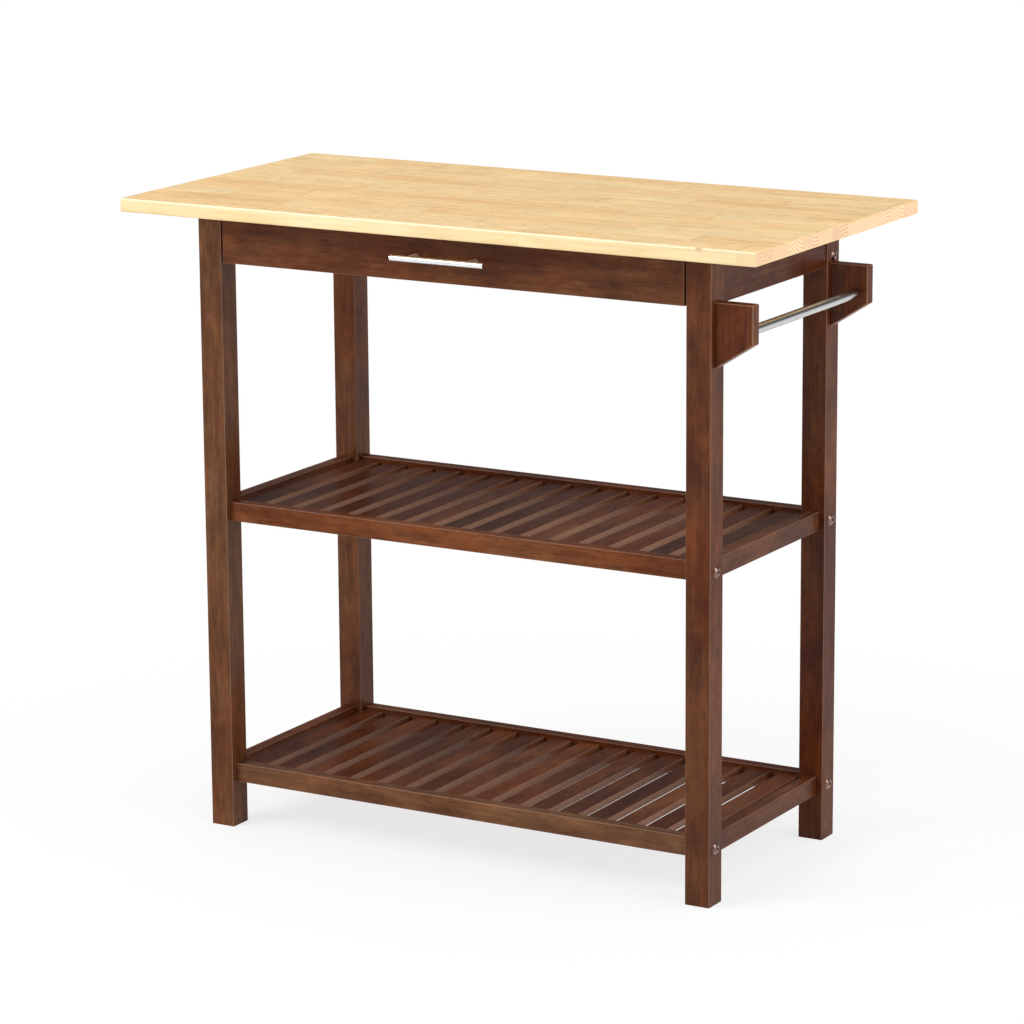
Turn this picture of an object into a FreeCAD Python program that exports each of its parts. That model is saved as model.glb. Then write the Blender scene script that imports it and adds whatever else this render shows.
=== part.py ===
"""Kitchen island: butcher-block top on four square legs, a drawer on telescopic slides,
two slatted shelves and a towel bar at the right end.

Frame: origin on the floor under the middle of the leg frame, +X to the right, +Y to the
back, +Z up, millimetres. Each piece is one object whose sizes and place are bound to the
sheet, so a changed cell changes every piece that fits it.
"""
import FreeCAD, Part
import Sketcher
import os
import re

doc = FreeCAD.newDocument("KitchenIsland")
sheet = doc.addObject("Spreadsheet::Sheet", "Sizes")

SIZES = [
    # Butcher-block top
    ("worktop_length", 1016, "left to right"),
    ("worktop_depth", 508, "front to back"),
    ("worktop_thickness", 20, "glued staves"),
    ("worktop_round", 2.5, "eased arrises of the top"),
    ("overall_height", 933.45, "floor to the working surface"),
    # Legs
    ("end_overhang", 95.25, "end of the top to the outer face of a leg"),
    ("front_overhang", 57.15, "front or back of the top to the outer face of a leg"),
    ("leg_side", 38.1, "square leg"),
    ("leg_round", 1.5, "eased arrises of a leg"),
    # Aprons under the top
    ("apron_height", 70, "side and back aprons"),
    ("apron_thickness", 19.05, "side and back aprons"),
    ("apron_setback", 2, "side apron behind the outer faces of the legs"),
    ("apron_round", 1.2, "eased lower arrises"),
    # Shelves
    ("low_shelf_top", 95.25, "top of the rails of the lower shelf"),
    ("mid_shelf_top", 489, "top of the rails of the middle shelf"),
    ("rail_height", 28, "all shelf rails"),
    ("rail_thickness", 19.05, "all shelf rails, centred on the legs"),
    ("rail_round", 1.2, "eased arrises of the rails"),
    ("slat_count", 16, "slats of one shelf"),
    ("slat_width", 32, "along the shelf"),
    ("slat_thickness", 10.3, "upright"),
    ("slat_recess", 5, "slat tops below the rail tops"),
    ("slat_side_gap", 12.7, "between an end rail and the first slat"),
    ("slat_end_gap", 0.3, "between a slat's end and the rail"),
    ("slat_round", 1, "eased upper arrises of a slat"),
    ("cleat_width", 15, "cleat that the slat ends rest on"),
    ("cleat_height", 12.5, "cleat that the slat ends rest on"),
    # Drawer
    ("drawer_side_gap", 3, "drawer front to leg"),
    ("drawer_top_gap", 2, "drawer front to the underside of the top"),
    ("drawer_front_height", 70, "upright"),
    ("drawer_front_thickness", 19.05, "front to back"),
    ("drawer_front_round", 1.2, "eased arrises of the drawer front"),
    ("box_rise", 8, "drawer box above the lower edge of the drawer front"),
    ("box_height", 50, "drawer sides"),
    ("box_rear_gap", 19.075, "rear end of the drawer sides to the back apron"),
    ("box_board", 12, "drawer sides and back"),
    ("panel_thickness", 4, "drawer bottom"),
    ("panel_rise", 8, "drawer bottom above the lower edge of the sides"),
    ("groove_depth", 6, "groove that holds the drawer bottom"),
    ("panel_fit", 0.3, "drawer bottom short of the groove's floor"),
    # Telescopic slides
    ("slide_height", 42, "outer member"),
    ("slide_thickness", 12.7, "leg to drawer side"),
    ("slide_sheet", 1.2, "folded steel"),
    ("slide_run_gap", 0.5, "between the flanges of two members"),
    ("slide_front_gap", 3, "drawer front to the slides"),
    ("slide_rear_gap", 4, "slides to the rear end of the drawer sides"),
    ("outer_flange", 8.5, "depth of the outer member"),
    ("middle_offset", 3.6, "back of the middle member behind the leg's face"),
    ("middle_flange", 7.4, "depth of the middle member"),
    ("inner_flange", 6, "depth of the inner member"),
    # Drawer handle
    ("handle_length", 150, "bar"),
    ("handle_diameter", 9, "bar"),
    ("handle_projection", 30, "drawer front to the outer side of the bar"),
    ("handle_hole_spacing", 96, "between the posts"),
    ("post_diameter", 8, "posts"),
    # Towel bar and its brackets
    ("bracket_reach", 58, "out from the leg"),
    ("bracket_root_height", 92, "at the leg"),
    ("bracket_end_height", 55, "at the outer end"),
    ("bracket_thickness", 19.05, "front to back"),
    ("bracket_drop", 64.45, "top of the brackets below the underside of the top"),
    ("bracket_round", 2.5, "eased arrises of a bracket"),
    ("towel_bar_diameter", 14, "tube"),
    ("towel_bar_out", 41, "bar's axis out from the leg"),
    ("towel_bar_drop", 40, "bar's axis below the top of the brackets"),
    ("towel_bar_seat", 12, "depth of the bar's hole in a bracket"),
    ("towel_bar_fit", 0.1, "around the bar in its holes"),
    # Bolts that hold the shelves and the back apron between the side frames
    ("frame_bolt_diameter", 6, "shank"),
    ("frame_bolt_length", 70, "under the head"),
    ("frame_bolt_head_diameter", 17, "domed head"),
    ("frame_bolt_head_height", 4, "domed head"),
    ("frame_bolt_socket", 4, "hexagon across corners"),
    ("frame_bolt_socket_depth", 2.4, "hexagon"),
    ("back_bolt_rise", 15.5, "back apron's bolt above the apron's lower edge"),
    ("barrel_diameter", 10, "barrel nut"),
    ("barrel_length", 14, "barrel nut"),
    ("barrel_inset", 25, "barrel nut from the end of its rail"),
    ("hole_fit", 0.1, "around a fastener in its hole"),
    # Dowels between legs, end rails and side aprons
    ("dowel_diameter", 8, "beech dowel"),
    ("dowel_length", 30, "beech dowel"),
    ("dowel_in_leg", 14, "part of the dowel inside the leg"),
    ("apron_dowel_inset", 15, "dowel from the apron's upper or lower edge"),
    # Dowels and screws of the drawer box
    ("drawer_dowel_diameter", 6, "drawer front to side"),
    ("drawer_dowel_length", 24, "half in the front, half in the side"),
    ("drawer_dowel_inset", 18, "lower dowel above the side's lower edge"),
    ("drawer_dowel_spacing", 20, "between the two dowels of a side"),
    ("back_screw_diameter", 4, "drawer side to back"),
    ("back_screw_length", 35, "under the head"),
    ("back_screw_head_diameter", 7.5, "sunk in the side"),
    ("back_screw_head_height", 3, "sunk in the side"),
    # Short screws
    ("wood_screw_diameter", 3.5, "top clips and outer slide members"),
    ("wood_screw_length", 14, "under the head"),
    ("wood_screw_head_diameter", 7, "pan head"),
    ("wood_screw_head_height", 1.8, "pan head"),
    ("slide_screw_diameter", 3.5, "inner slide members"),
    ("slide_screw_length", 10, "under the head"),
    ("slide_screw_head_diameter", 7, "pan head"),
    ("slide_screw_head_height", 1.8, "pan head"),
    ("slide_screw_inset", 30, "first screw from the end of the slide"),
    ("handle_screw_diameter", 4, "through the drawer front"),
    ("handle_screw_length", 25, "under the head"),
    ("handle_screw_head_diameter", 8, "pan head"),
    ("handle_screw_head_height", 2.5, "pan head"),
    ("bracket_screw_diameter", 5, "through the leg"),
    ("bracket_screw_length", 55, "under the head"),
    ("bracket_screw_head_diameter", 9, "sunk in the leg"),
    ("bracket_screw_head_height", 3, "sunk in the leg"),
    ("bracket_screw_inset", 22, "from the bracket's upper or lower edge"),
    # Angle clips that hold the top down
    ("clip_leg", 16, "both legs of the angle"),
    ("clip_width", 16, "along the apron"),
    ("clip_sheet", 1.5, "steel"),
    ("clip_hole_inset", 6, "hole from the end of a clip's leg"),
    ("side_clip_spacing", 200, "between the two clips of a side apron"),
    ("back_clip_spacing", 400, "between the two clips of the back apron"),
    # Tools that cut
    ("overrun", 5, "how far a cutter starts outside the wood"),
]

for row, (alias, value, note) in enumerate(SIZES, start=1):
    sheet.set("A%d" % row, alias)
    sheet.set("B%d" % row, str(value))
    sheet.setAlias("B%d" % row, alias)
    sheet.set("C%d" % row, note)
doc.recompute()

FUNCTIONS = ("asin",)

# Places that several pieces share, as sums of the named sizes
LEG_OUTER_X = "(worktop_length / 2 - end_overhang)"
LEG_OUTER_Y = "(worktop_depth / 2 - front_overhang)"
LEG_INNER_X = f"({LEG_OUTER_X} - leg_side)"
LEG_INNER_Y = f"({LEG_OUTER_Y} - leg_side)"
LEG_CENTRE_Y = f"({LEG_OUTER_Y} - leg_side / 2)"
UNDERSIDE = "(overall_height - worktop_thickness)"
APRON_BOTTOM = f"({UNDERSIDE} - apron_height)"
APRON_INNER_X = f"({LEG_OUTER_X} - apron_setback - apron_thickness)"
BACK_APRON_FRONT = f"({LEG_CENTRE_Y} - apron_thickness / 2)"
RAIL_OUTER_Y = f"({LEG_CENTRE_Y} + rail_thickness / 2)"
RAIL_INNER_Y = f"({LEG_CENTRE_Y} - rail_thickness / 2)"
LEG_CENTRE_X = f"({LEG_OUTER_X} - leg_side / 2)"
END_RAIL_OUTER_X = f"({LEG_CENTRE_X} + rail_thickness / 2)"
END_RAIL_INNER_X = f"({LEG_CENTRE_X} - rail_thickness / 2)"
FRONT_BACK = f"(-{LEG_OUTER_Y} + drawer_front_thickness)"
FRONT_BOTTOM = f"({UNDERSIDE} - drawer_top_gap - drawer_front_height)"
BOX_BOTTOM = f"({FRONT_BOTTOM} + box_rise)"
BOX_OUTER_X = f"({LEG_INNER_X} - slide_thickness)"
BOX_INNER_X = f"({BOX_OUTER_X} - box_board)"
BOX_REAR = f"({BACK_APRON_FRONT} - box_rear_gap)"
SLIDE_FRONT = f"({FRONT_BACK} + slide_front_gap)"
SLIDE_REAR = f"({BOX_REAR} - slide_rear_gap)"
SLIDE_CENTRE_Z = f"({BOX_BOTTOM} + box_height / 2)"
HANDLE_Z = f"({FRONT_BOTTOM} + drawer_front_height / 2)"
HANDLE_Y = f"(-{LEG_OUTER_Y} - handle_projection + handle_diameter / 2)"
BRACKET_TOP = f"({UNDERSIDE} - bracket_drop)"
TOWEL_BAR_X = f"({LEG_OUTER_X} + towel_bar_out)"
TOWEL_BAR_Z = f"({BRACKET_TOP} - towel_bar_drop)"

LEFT, RIGHT, FRONT, REAR = -1, 1, -1, 1
SIDES = {LEFT: "left", RIGHT: "right"}
ENDS = {FRONT: "front", REAR: "rear"}
SHELVES = {"lower": "low_shelf_top", "middle": "mid_shelf_top"}
DIRECTIONS = {
    "+X": FreeCAD.Vector(1, 0, 0), "-X": FreeCAD.Vector(-1, 0, 0),
    "+Y": FreeCAD.Vector(0, 1, 0), "-Y": FreeCAD.Vector(0, -1, 0),
    "+Z": FreeCAD.Vector(0, 0, 1), "-Z": FreeCAD.Vector(0, 0, -1),
}
OPPOSITE = {"+X": "-X", "-X": "+X", "+Y": "-Y", "-Y": "+Y", "+Z": "-Z", "-Z": "+Z"}
pieces = []


def size(alias):
    """The value of one cell."""
    return float(sheet.get(alias))


def formula(text):
    """The text with the sheet named in front of each size in it."""
    def named(match):
        word = match.group()
        return word if word in FUNCTIONS else "Sizes." + word
    return re.sub(r"[a-z][a-z_0-9]*", named, text)


def signed(side, text):
    """A place on the left or front side is the mirrored one."""
    return text if side > 0 else f"-({text})"


def span(side, near, far):
    """Low and high end of a stretch that lies near to far from the middle, on one side."""
    return (near, far) if side > 0 else (f"-({far})", f"-({near})")


def outward(axis, side):
    """Direction away from the middle along an axis, on one side."""
    return ("+" if side > 0 else "-") + axis


def bind(thing, **properties):
    for name, text in properties.items():
        thing.setExpression(name, formula(text))


def place(thing, x, y, z):
    for letter, text in (("x", x), ("y", y), ("z", z)):
        thing.setExpression("Placement.Base." + letter, formula(text))


def block(name, x, y, z):
    """A box from the low and high ends of its three stretches."""
    thing = doc.addObject("Part::Box", name)
    bind(thing, Length=f"({x[1]}) - ({x[0]})", Width=f"({y[1]}) - ({y[0]})", Height=f"({z[1]}) - ({z[0]})")
    place(thing, x[0], y[0], z[0])
    return thing


def rod(name, radius, length, direction, x, y, z):
    """A cylinder that starts at a point and runs in one direction."""
    thing = doc.addObject("Part::Cylinder", name)
    thing.Placement.Rotation = FreeCAD.Rotation(DIRECTIONS["+Z"], DIRECTIONS[direction])
    bind(thing, Radius=radius, Height=length)
    place(thing, x, y, z)
    return thing


def group(name, things):
    """Separate solids kept together as one object."""
    thing = doc.addObject("Part::Compound", name)
    thing.Links = things
    return thing


def fuse(name, base, tool):
    thing = doc.addObject("Part::Fuse", name)
    thing.Base, thing.Tool = base, tool
    return thing


def cut(name, base, tools):
    if not tools:
        return base
    thing = doc.addObject("Part::Cut", name)
    thing.Base = base
    thing.Tool = tools[0] if len(tools) == 1 else group(name + "_cutters", tools)
    return thing


def eased(name, base, radius, keep=lambda edge: True):
    """Round the chosen arrises of a block."""
    doc.recompute([base])
    value = size(radius)
    thing = doc.addObject("Part::Fillet", name)
    thing.Base = base
    chosen = [i for i, edge in enumerate(base.Shape.Edges, start=1) if keep(edge)]
    thing.Edges = [(i, value, value) for i in chosen]
    return thing


def runs_along(direction):
    """Choose the arrises that are parallel to one direction."""
    vector = DIRECTIONS[direction]
    return lambda edge: abs(abs(edge.tangentAt(edge.FirstParameter).dot(vector)) - 1) < 1e-6


def piece(label, thing):
    """Keep an object as a piece of the island under its own name."""
    thing.Label = label
    pieces.append(thing)
    return thing


def screw(kind, name, direction, x, y, z):
    """A flat-headed screw whose head bears at a point and whose shank runs in one direction."""
    shank = rod(name + "_shank", f"{kind}_diameter / 2", f"{kind}_length", direction, x, y, z)
    head = rod(name + "_head", f"{kind}_head_diameter / 2", f"{kind}_head_height",
               OPPOSITE[direction], x, y, z)
    return fuse(name, shank, head)


def screw_hole(kind, name, direction, x, y, z):
    return rod(name, f"{kind}_diameter / 2 + hole_fit", f"{kind}_length + hole_fit", direction, x, y, z)


def head_hole(kind, name, direction, x, y, z):
    """Sinks a head below the face of the wood; it opens against the screw's direction."""
    return rod(name, f"{kind}_head_diameter / 2 + hole_fit", f"{kind}_head_height + overrun",
               OPPOSITE[direction], x, y, z)


def shelf_bolt_height(shelf):
    return f"({SHELVES[shelf]} - rail_height / 2)"


def frame_bolt_places():
    """Name, side, end and height of each bolt that runs through a leg into a rail or apron."""
    for shelf in SHELVES:
        for end, end_name in ENDS.items():
            for side, side_name in SIDES.items():
                yield f"{shelf}_{end_name}_{side_name}", side, end, shelf_bolt_height(shelf)
    for side, side_name in SIDES.items():
        yield f"apron_{side_name}", side, REAR, f"({APRON_BOTTOM} + back_bolt_rise)"


def frame_bolt_hole(name, side, end, height):
    """Bolt hole through a leg and into the end of a rail."""
    return rod(name, "frame_bolt_diameter / 2 + hole_fit", "frame_bolt_length + hole_fit + overrun",
               outward("X", -side), signed(side, f"{LEG_OUTER_X} + overrun"),
               signed(end, LEG_CENTRE_Y), height)


def dowel_places():
    """Name, side, end, distance from the middle plane and height of each dowel into a leg."""
    apron_x = f"({LEG_OUTER_X} - apron_setback - apron_thickness / 2)"
    heights = {"low": f"({APRON_BOTTOM} + apron_dowel_inset)", "high": f"({UNDERSIDE} - apron_dowel_inset)"}
    for side, side_name in SIDES.items():
        for end, end_name in ENDS.items():
            for shelf in SHELVES:
                yield f"{shelf}_{side_name}_{end_name}", side, end, LEG_CENTRE_X, shelf_bolt_height(shelf)
            for level, height in heights.items():
                yield f"apron_{level}_{side_name}_{end_name}", side, end, apron_x, height


def dowel(name, side, end, x, height, fit="0"):
    """A dowel, or with a fit its hole, across the joint between a leg and a rail."""
    return rod(name, f"dowel_diameter / 2 + {fit}", f"dowel_length + 2 * {fit}", outward("Y", -end),
               signed(side, x), signed(end, f"{LEG_INNER_Y} + dowel_in_leg + {fit}"), height)


def bracket_screw_places():
    """Name, end, place and height of each screw that holds a towel bracket to its leg."""
    heights = {"upper": f"({BRACKET_TOP} - bracket_screw_inset)",
               "lower": f"({BRACKET_TOP} - bracket_root_height + bracket_screw_inset)"}
    for end, end_name in ENDS.items():
        for level, height in heights.items():
            yield (f"bracket_{level}_{end_name}", f"{LEG_INNER_X} + bracket_screw_head_height",
                   end, signed(end, LEG_CENTRE_Y), height)


# Legs
def leg(side, end):
    label = f"leg_{ENDS[end]}_{SIDES[side]}"
    blank = block(label + "_blank", span(side, LEG_INNER_X, LEG_OUTER_X),
                  span(end, LEG_INNER_Y, LEG_OUTER_Y), ("0", UNDERSIDE))
    shaped = eased(label + "_eased", blank, "leg_round", runs_along("+Z"))
    holes = [frame_bolt_hole(f"{label}_bolt_hole_{name}", s, e, height)
             for name, s, e, height in frame_bolt_places() if (s, e) == (side, end)]
    holes += [dowel(f"{label}_dowel_hole_{name}", s, e, x, height, "hole_fit")
              for name, s, e, x, height in dowel_places() if (s, e) == (side, end)]
    if side == RIGHT:
        for name, x, e, y, height in bracket_screw_places():
            if e == end:
                holes.append(screw_hole("bracket_screw", f"{label}_hole_{name}", "+X", x, y, height))
                holes.append(head_hole("bracket_screw", f"{label}_sink_{name}", "+X", x, y, height))
    piece(label, cut(label, shaped, holes))


for leg_side_of in SIDES:
    for leg_end in ENDS:
        leg(leg_side_of, leg_end)


# Top clips: angles in the corner between an apron and the underside of the top
def clip_places():
    """Name, which way the apron lies, and the middle of the clip on the apron's inner face."""
    for side, side_name in SIDES.items():
        for end, end_name in ENDS.items():
            yield (f"{side_name}_{end_name}", outward("X", side), signed(side, APRON_INNER_X),
                   signed(end, "side_clip_spacing / 2"))
    for side, side_name in SIDES.items():
        yield f"back_{side_name}", "+Y", signed(side, "back_clip_spacing / 2"), BACK_APRON_FRONT


def clip_parts(name, towards, x, y):
    """One angle clip with its two screws, and the holes that the screws need."""
    sign = "-" if towards[0] == "+" else "+"
    across = ("y", y) if towards[1] == "X" else ("x", x)
    middle = f"({across[1]})"
    width = (f"{middle} - clip_width / 2", f"{middle} + clip_width / 2")
    face = x if towards[1] == "X" else y

    def stretch(depth):
        ends = (f"({face}) {sign} {depth}", f"({face})")
        return ends if sign == "-" else (ends[1], ends[0])

    def spot(inset):
        place_in = f"({face}) {sign} ({inset})"
        return (place_in, middle) if towards[1] == "X" else (middle, place_in)

    def solid(part, depth, low):
        x_span, y_span = (stretch(depth), width) if towards[1] == "X" else (width, stretch(depth))
        return block(f"clip_{name}_{part}", x_span, y_span, (low, UNDERSIDE))

    upright = solid("upright", "clip_sheet", f"{UNDERSIDE} - clip_leg")
    flat = solid("flat", "clip_leg", f"{UNDERSIDE} - clip_sheet")
    low = f"{UNDERSIDE} - clip_leg + clip_hole_inset"
    side_x, side_y = spot("clip_sheet")
    up_x, up_y = spot("clip_leg - clip_hole_inset")
    up_z = f"{UNDERSIDE} - clip_sheet"
    side_hole = screw_hole("wood_screw", f"clip_{name}_side_hole", towards, side_x, side_y, low)
    up_hole = screw_hole("wood_screw", f"clip_{name}_up_hole", "+Z", up_x, up_y, up_z)
    angle = cut(f"clip_{name}", fuse(f"clip_{name}_angle", upright, flat), [side_hole, up_hole])
    screws = [screw("wood_screw", f"clip_{name}_side_screw", towards, side_x, side_y, low),
              screw("wood_screw", f"clip_{name}_up_screw", "+Z", up_x, up_y, up_z)]
    return angle, screws, side_hole, up_hole


clips, clip_screws, apron_clip_holes, worktop_clip_holes = [], [], {}, []
for clip_name, clip_towards, clip_x, clip_y in clip_places():
    angle_clip, two_screws, apron_hole, worktop_hole = clip_parts(clip_name, clip_towards, clip_x, clip_y)
    clips.append(angle_clip)
    clip_screws += two_screws
    apron_clip_holes.setdefault(clip_name.split("_")[0], []).append(apron_hole)
    worktop_clip_holes.append(worktop_hole)
piece("worktop_clips", group("worktop_clips", clips))
piece("worktop_clip_screws", group("worktop_clip_screws", clip_screws))

# Butcher-block top
worktop_blank = block("worktop_blank", ("-worktop_length / 2", "worktop_length / 2"),
                      ("-worktop_depth / 2", "worktop_depth / 2"), (UNDERSIDE, "overall_height"))
worktop_eased = eased("worktop_eased", worktop_blank, "worktop_round")
piece("worktop", cut("worktop", worktop_eased, worktop_clip_holes))


# Aprons
def side_apron(side):
    label = f"side_apron_{SIDES[side]}"
    blank = block(label + "_blank", span(side, APRON_INNER_X, f"{LEG_OUTER_X} - apron_setback"),
                  (f"-{LEG_INNER_Y}", LEG_INNER_Y), (APRON_BOTTOM, UNDERSIDE))
    shaped = eased(label + "_eased", blank, "apron_round", runs_along("+Y"))
    holes = [dowel(f"{label}_dowel_hole_{name}", s, e, x, height, "hole_fit")
             for name, s, e, x, height in dowel_places() if s == side and name.startswith("apron")]
    piece(label, cut(label, shaped, holes + apron_clip_holes[SIDES[side]]))


def barrel(name, direction, x, y, z, length="barrel_length", radius="barrel_diameter / 2"):
    return rod(name, radius, length, direction, x, y, z)


def barrel_x(side):
    return signed(side, f"{LEG_INNER_X} - barrel_inset")


def back_apron():
    blank = block("back_apron_blank", (f"-{LEG_INNER_X}", LEG_INNER_X),
                  (BACK_APRON_FRONT, f"{BACK_APRON_FRONT} + apron_thickness"), (APRON_BOTTOM, UNDERSIDE))
    shaped = eased("back_apron_eased", blank, "apron_round", runs_along("+X"))
    holes = list(apron_clip_holes["back"])
    for name, side, end, height in frame_bolt_places():
        if name.startswith("apron"):
            holes.append(frame_bolt_hole(f"back_apron_bolt_hole_{name}", side, end, height))
            holes.append(barrel(f"back_apron_barrel_hole_{name}", "+Y", barrel_x(side),
                                f"{BACK_APRON_FRONT} - overrun", height,
                                "overrun + apron_thickness / 2 + barrel_length / 2",
                                "barrel_diameter / 2 + hole_fit"))
    piece("back_apron", cut("back_apron", shaped, holes))


for apron_side in SIDES:
    side_apron(apron_side)
back_apron()


# Shelves
def long_rail(shelf, end):
    """Front or back rail of a shelf, bolted between the legs."""
    label = f"{shelf}_shelf_{ENDS[end]}_rail"
    top = SHELVES[shelf]
    blank = block(label + "_blank", (f"-{LEG_INNER_X}", LEG_INNER_X),
                  span(end, RAIL_INNER_Y, RAIL_OUTER_Y), (f"{top} - rail_height", top))
    shaped = eased(label + "_eased", blank, "rail_round", runs_along("+X"))
    holes = []
    for name, side, e, height in frame_bolt_places():
        if e == end and name.startswith(shelf):
            holes.append(frame_bolt_hole(f"{label}_bolt_hole_{name}", side, e, height))
            holes.append(barrel(f"{label}_barrel_hole_{name}", "+Z", barrel_x(side),
                                signed(end, LEG_CENTRE_Y), f"{top} - rail_height - overrun",
                                "overrun + rail_height / 2 + barrel_length / 2",
                                "barrel_diameter / 2 + hole_fit"))
    piece(label, cut(label, shaped, holes))


def end_rail(shelf, side):
    """Rail at one end of a shelf, dowelled between the front and the rear leg."""
    label = f"{shelf}_shelf_{SIDES[side]}_rail"
    top = SHELVES[shelf]
    blank = block(label + "_blank", span(side, END_RAIL_INNER_X, END_RAIL_OUTER_X),
                  (f"-{LEG_INNER_Y}", LEG_INNER_Y), (f"{top} - rail_height", top))
    shaped = eased(label + "_eased", blank, "rail_round", runs_along("+Y"))
    holes = [dowel(f"{label}_dowel_hole_{name}", s, e, x, height, "hole_fit")
             for name, s, e, x, height in dowel_places() if s == side and name.startswith(shelf)]
    piece(label, cut(label, shaped, holes))


def cleat(shelf, end):
    """Strip along the inside of a long rail that the slat ends rest on."""
    top = f"({SHELVES[shelf]} - slat_recess - slat_thickness)"
    label = f"{shelf}_shelf_{ENDS[end]}_cleat"
    piece(label, block(label, (f"-{LEG_INNER_X}", LEG_INNER_X),
                       span(end, f"{RAIL_INNER_Y} - cleat_width", RAIL_INNER_Y),
                       (f"{top} - cleat_height", top)))


def slats(shelf):
    """Slats from the front rail to the back rail, evenly spaced between the end rails."""
    top = f"({SHELVES[shelf]} - slat_recess)"
    first = f"(-{END_RAIL_INNER_X} + slat_side_gap)"
    pitch = f"((2 * {END_RAIL_INNER_X} - 2 * slat_side_gap - slat_width) / (slat_count - 1))"
    boards = []
    for i in range(int(size("slat_count"))):
        low = f"{first} + {i} * {pitch}"
        blank = block(f"{shelf}_slat_blank_{i + 1}", (low, f"{low} + slat_width"),
                      (f"-{RAIL_INNER_Y} + slat_end_gap", f"{RAIL_INNER_Y} - slat_end_gap"),
                      (f"{top} - slat_thickness", top))
        boards.append(eased(f"{shelf}_slat_{i + 1}", blank, "slat_round", runs_along("+Y")))
    piece(f"{shelf}_shelf_slats", group(f"{shelf}_shelf_slats", boards))


for shelf_name in SHELVES:
    for shelf_end in ENDS:
        long_rail(shelf_name, shelf_end)
        cleat(shelf_name, shelf_end)
    for shelf_side in SIDES:
        end_rail(shelf_name, shelf_side)
    slats(shelf_name)


# Bolts, barrel nuts and dowels of the frame
def domed_head(name, direction, x, y, z):
    """Low dome with a hexagon socket."""
    ball = "((frame_bolt_head_diameter ^ 2 / 4 + frame_bolt_head_height ^ 2) / (2 * frame_bolt_head_height))"
    dome = doc.addObject("Part::Sphere", name + "_dome")
    dome.Placement.Rotation = FreeCAD.Rotation(DIRECTIONS["+Z"], DIRECTIONS[direction])
    bind(dome, Radius=ball, Angle1=f"asin(({ball} - frame_bolt_head_height) / {ball})")
    sink = f"({ball} - frame_bolt_head_height)"
    place(dome, f"({x}) - ({sink}) * {DIRECTIONS[direction].x:g}", y, z)
    socket = doc.addObject("Part::Prism", name + "_socket")
    socket.Placement.Rotation = FreeCAD.Rotation(DIRECTIONS["+Z"], DIRECTIONS[direction])
    bind(socket, Circumradius="frame_bolt_socket / 2", Height="frame_bolt_socket_depth + overrun")
    place(socket, f"({x}) + (frame_bolt_head_height - frame_bolt_socket_depth) * {DIRECTIONS[direction].x:g}",
          y, z)
    return cut(name, dome, [socket])


def frame_bolt(name, side, end, height):
    x, y = signed(side, LEG_OUTER_X), signed(end, LEG_CENTRE_Y)
    head = domed_head(f"bolt_{name}_head", outward("X", side), x, y, height)
    shank = rod(f"bolt_{name}_shank", "frame_bolt_diameter / 2", "frame_bolt_length",
                outward("X", -side), x, y, height)
    return fuse(f"bolt_{name}", head, shank)


def barrel_nut(name, side, end, height):
    """Cross barrel that the bolt's end screws into."""
    if name.startswith("apron"):
        nut = barrel(f"barrel_{name}_body", "+Y", barrel_x(side),
                     f"{LEG_CENTRE_Y} - barrel_length / 2", height)
    else:
        nut = barrel(f"barrel_{name}_body", "+Z", barrel_x(side), signed(end, LEG_CENTRE_Y),
                     f"{height} - barrel_length / 2")
    return cut(f"barrel_{name}", nut, [frame_bolt_hole(f"barrel_{name}_thread", side, end, height)])


piece("frame_bolts", group("frame_bolts", [frame_bolt(*spot) for spot in frame_bolt_places()]))
piece("barrel_nuts", group("barrel_nuts", [barrel_nut(*spot) for spot in frame_bolt_places()]))
piece("frame_dowels", group("frame_dowels", [
    dowel("dowel_" + spot[0], *spot[1:]) for spot in dowel_places()]))


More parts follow.
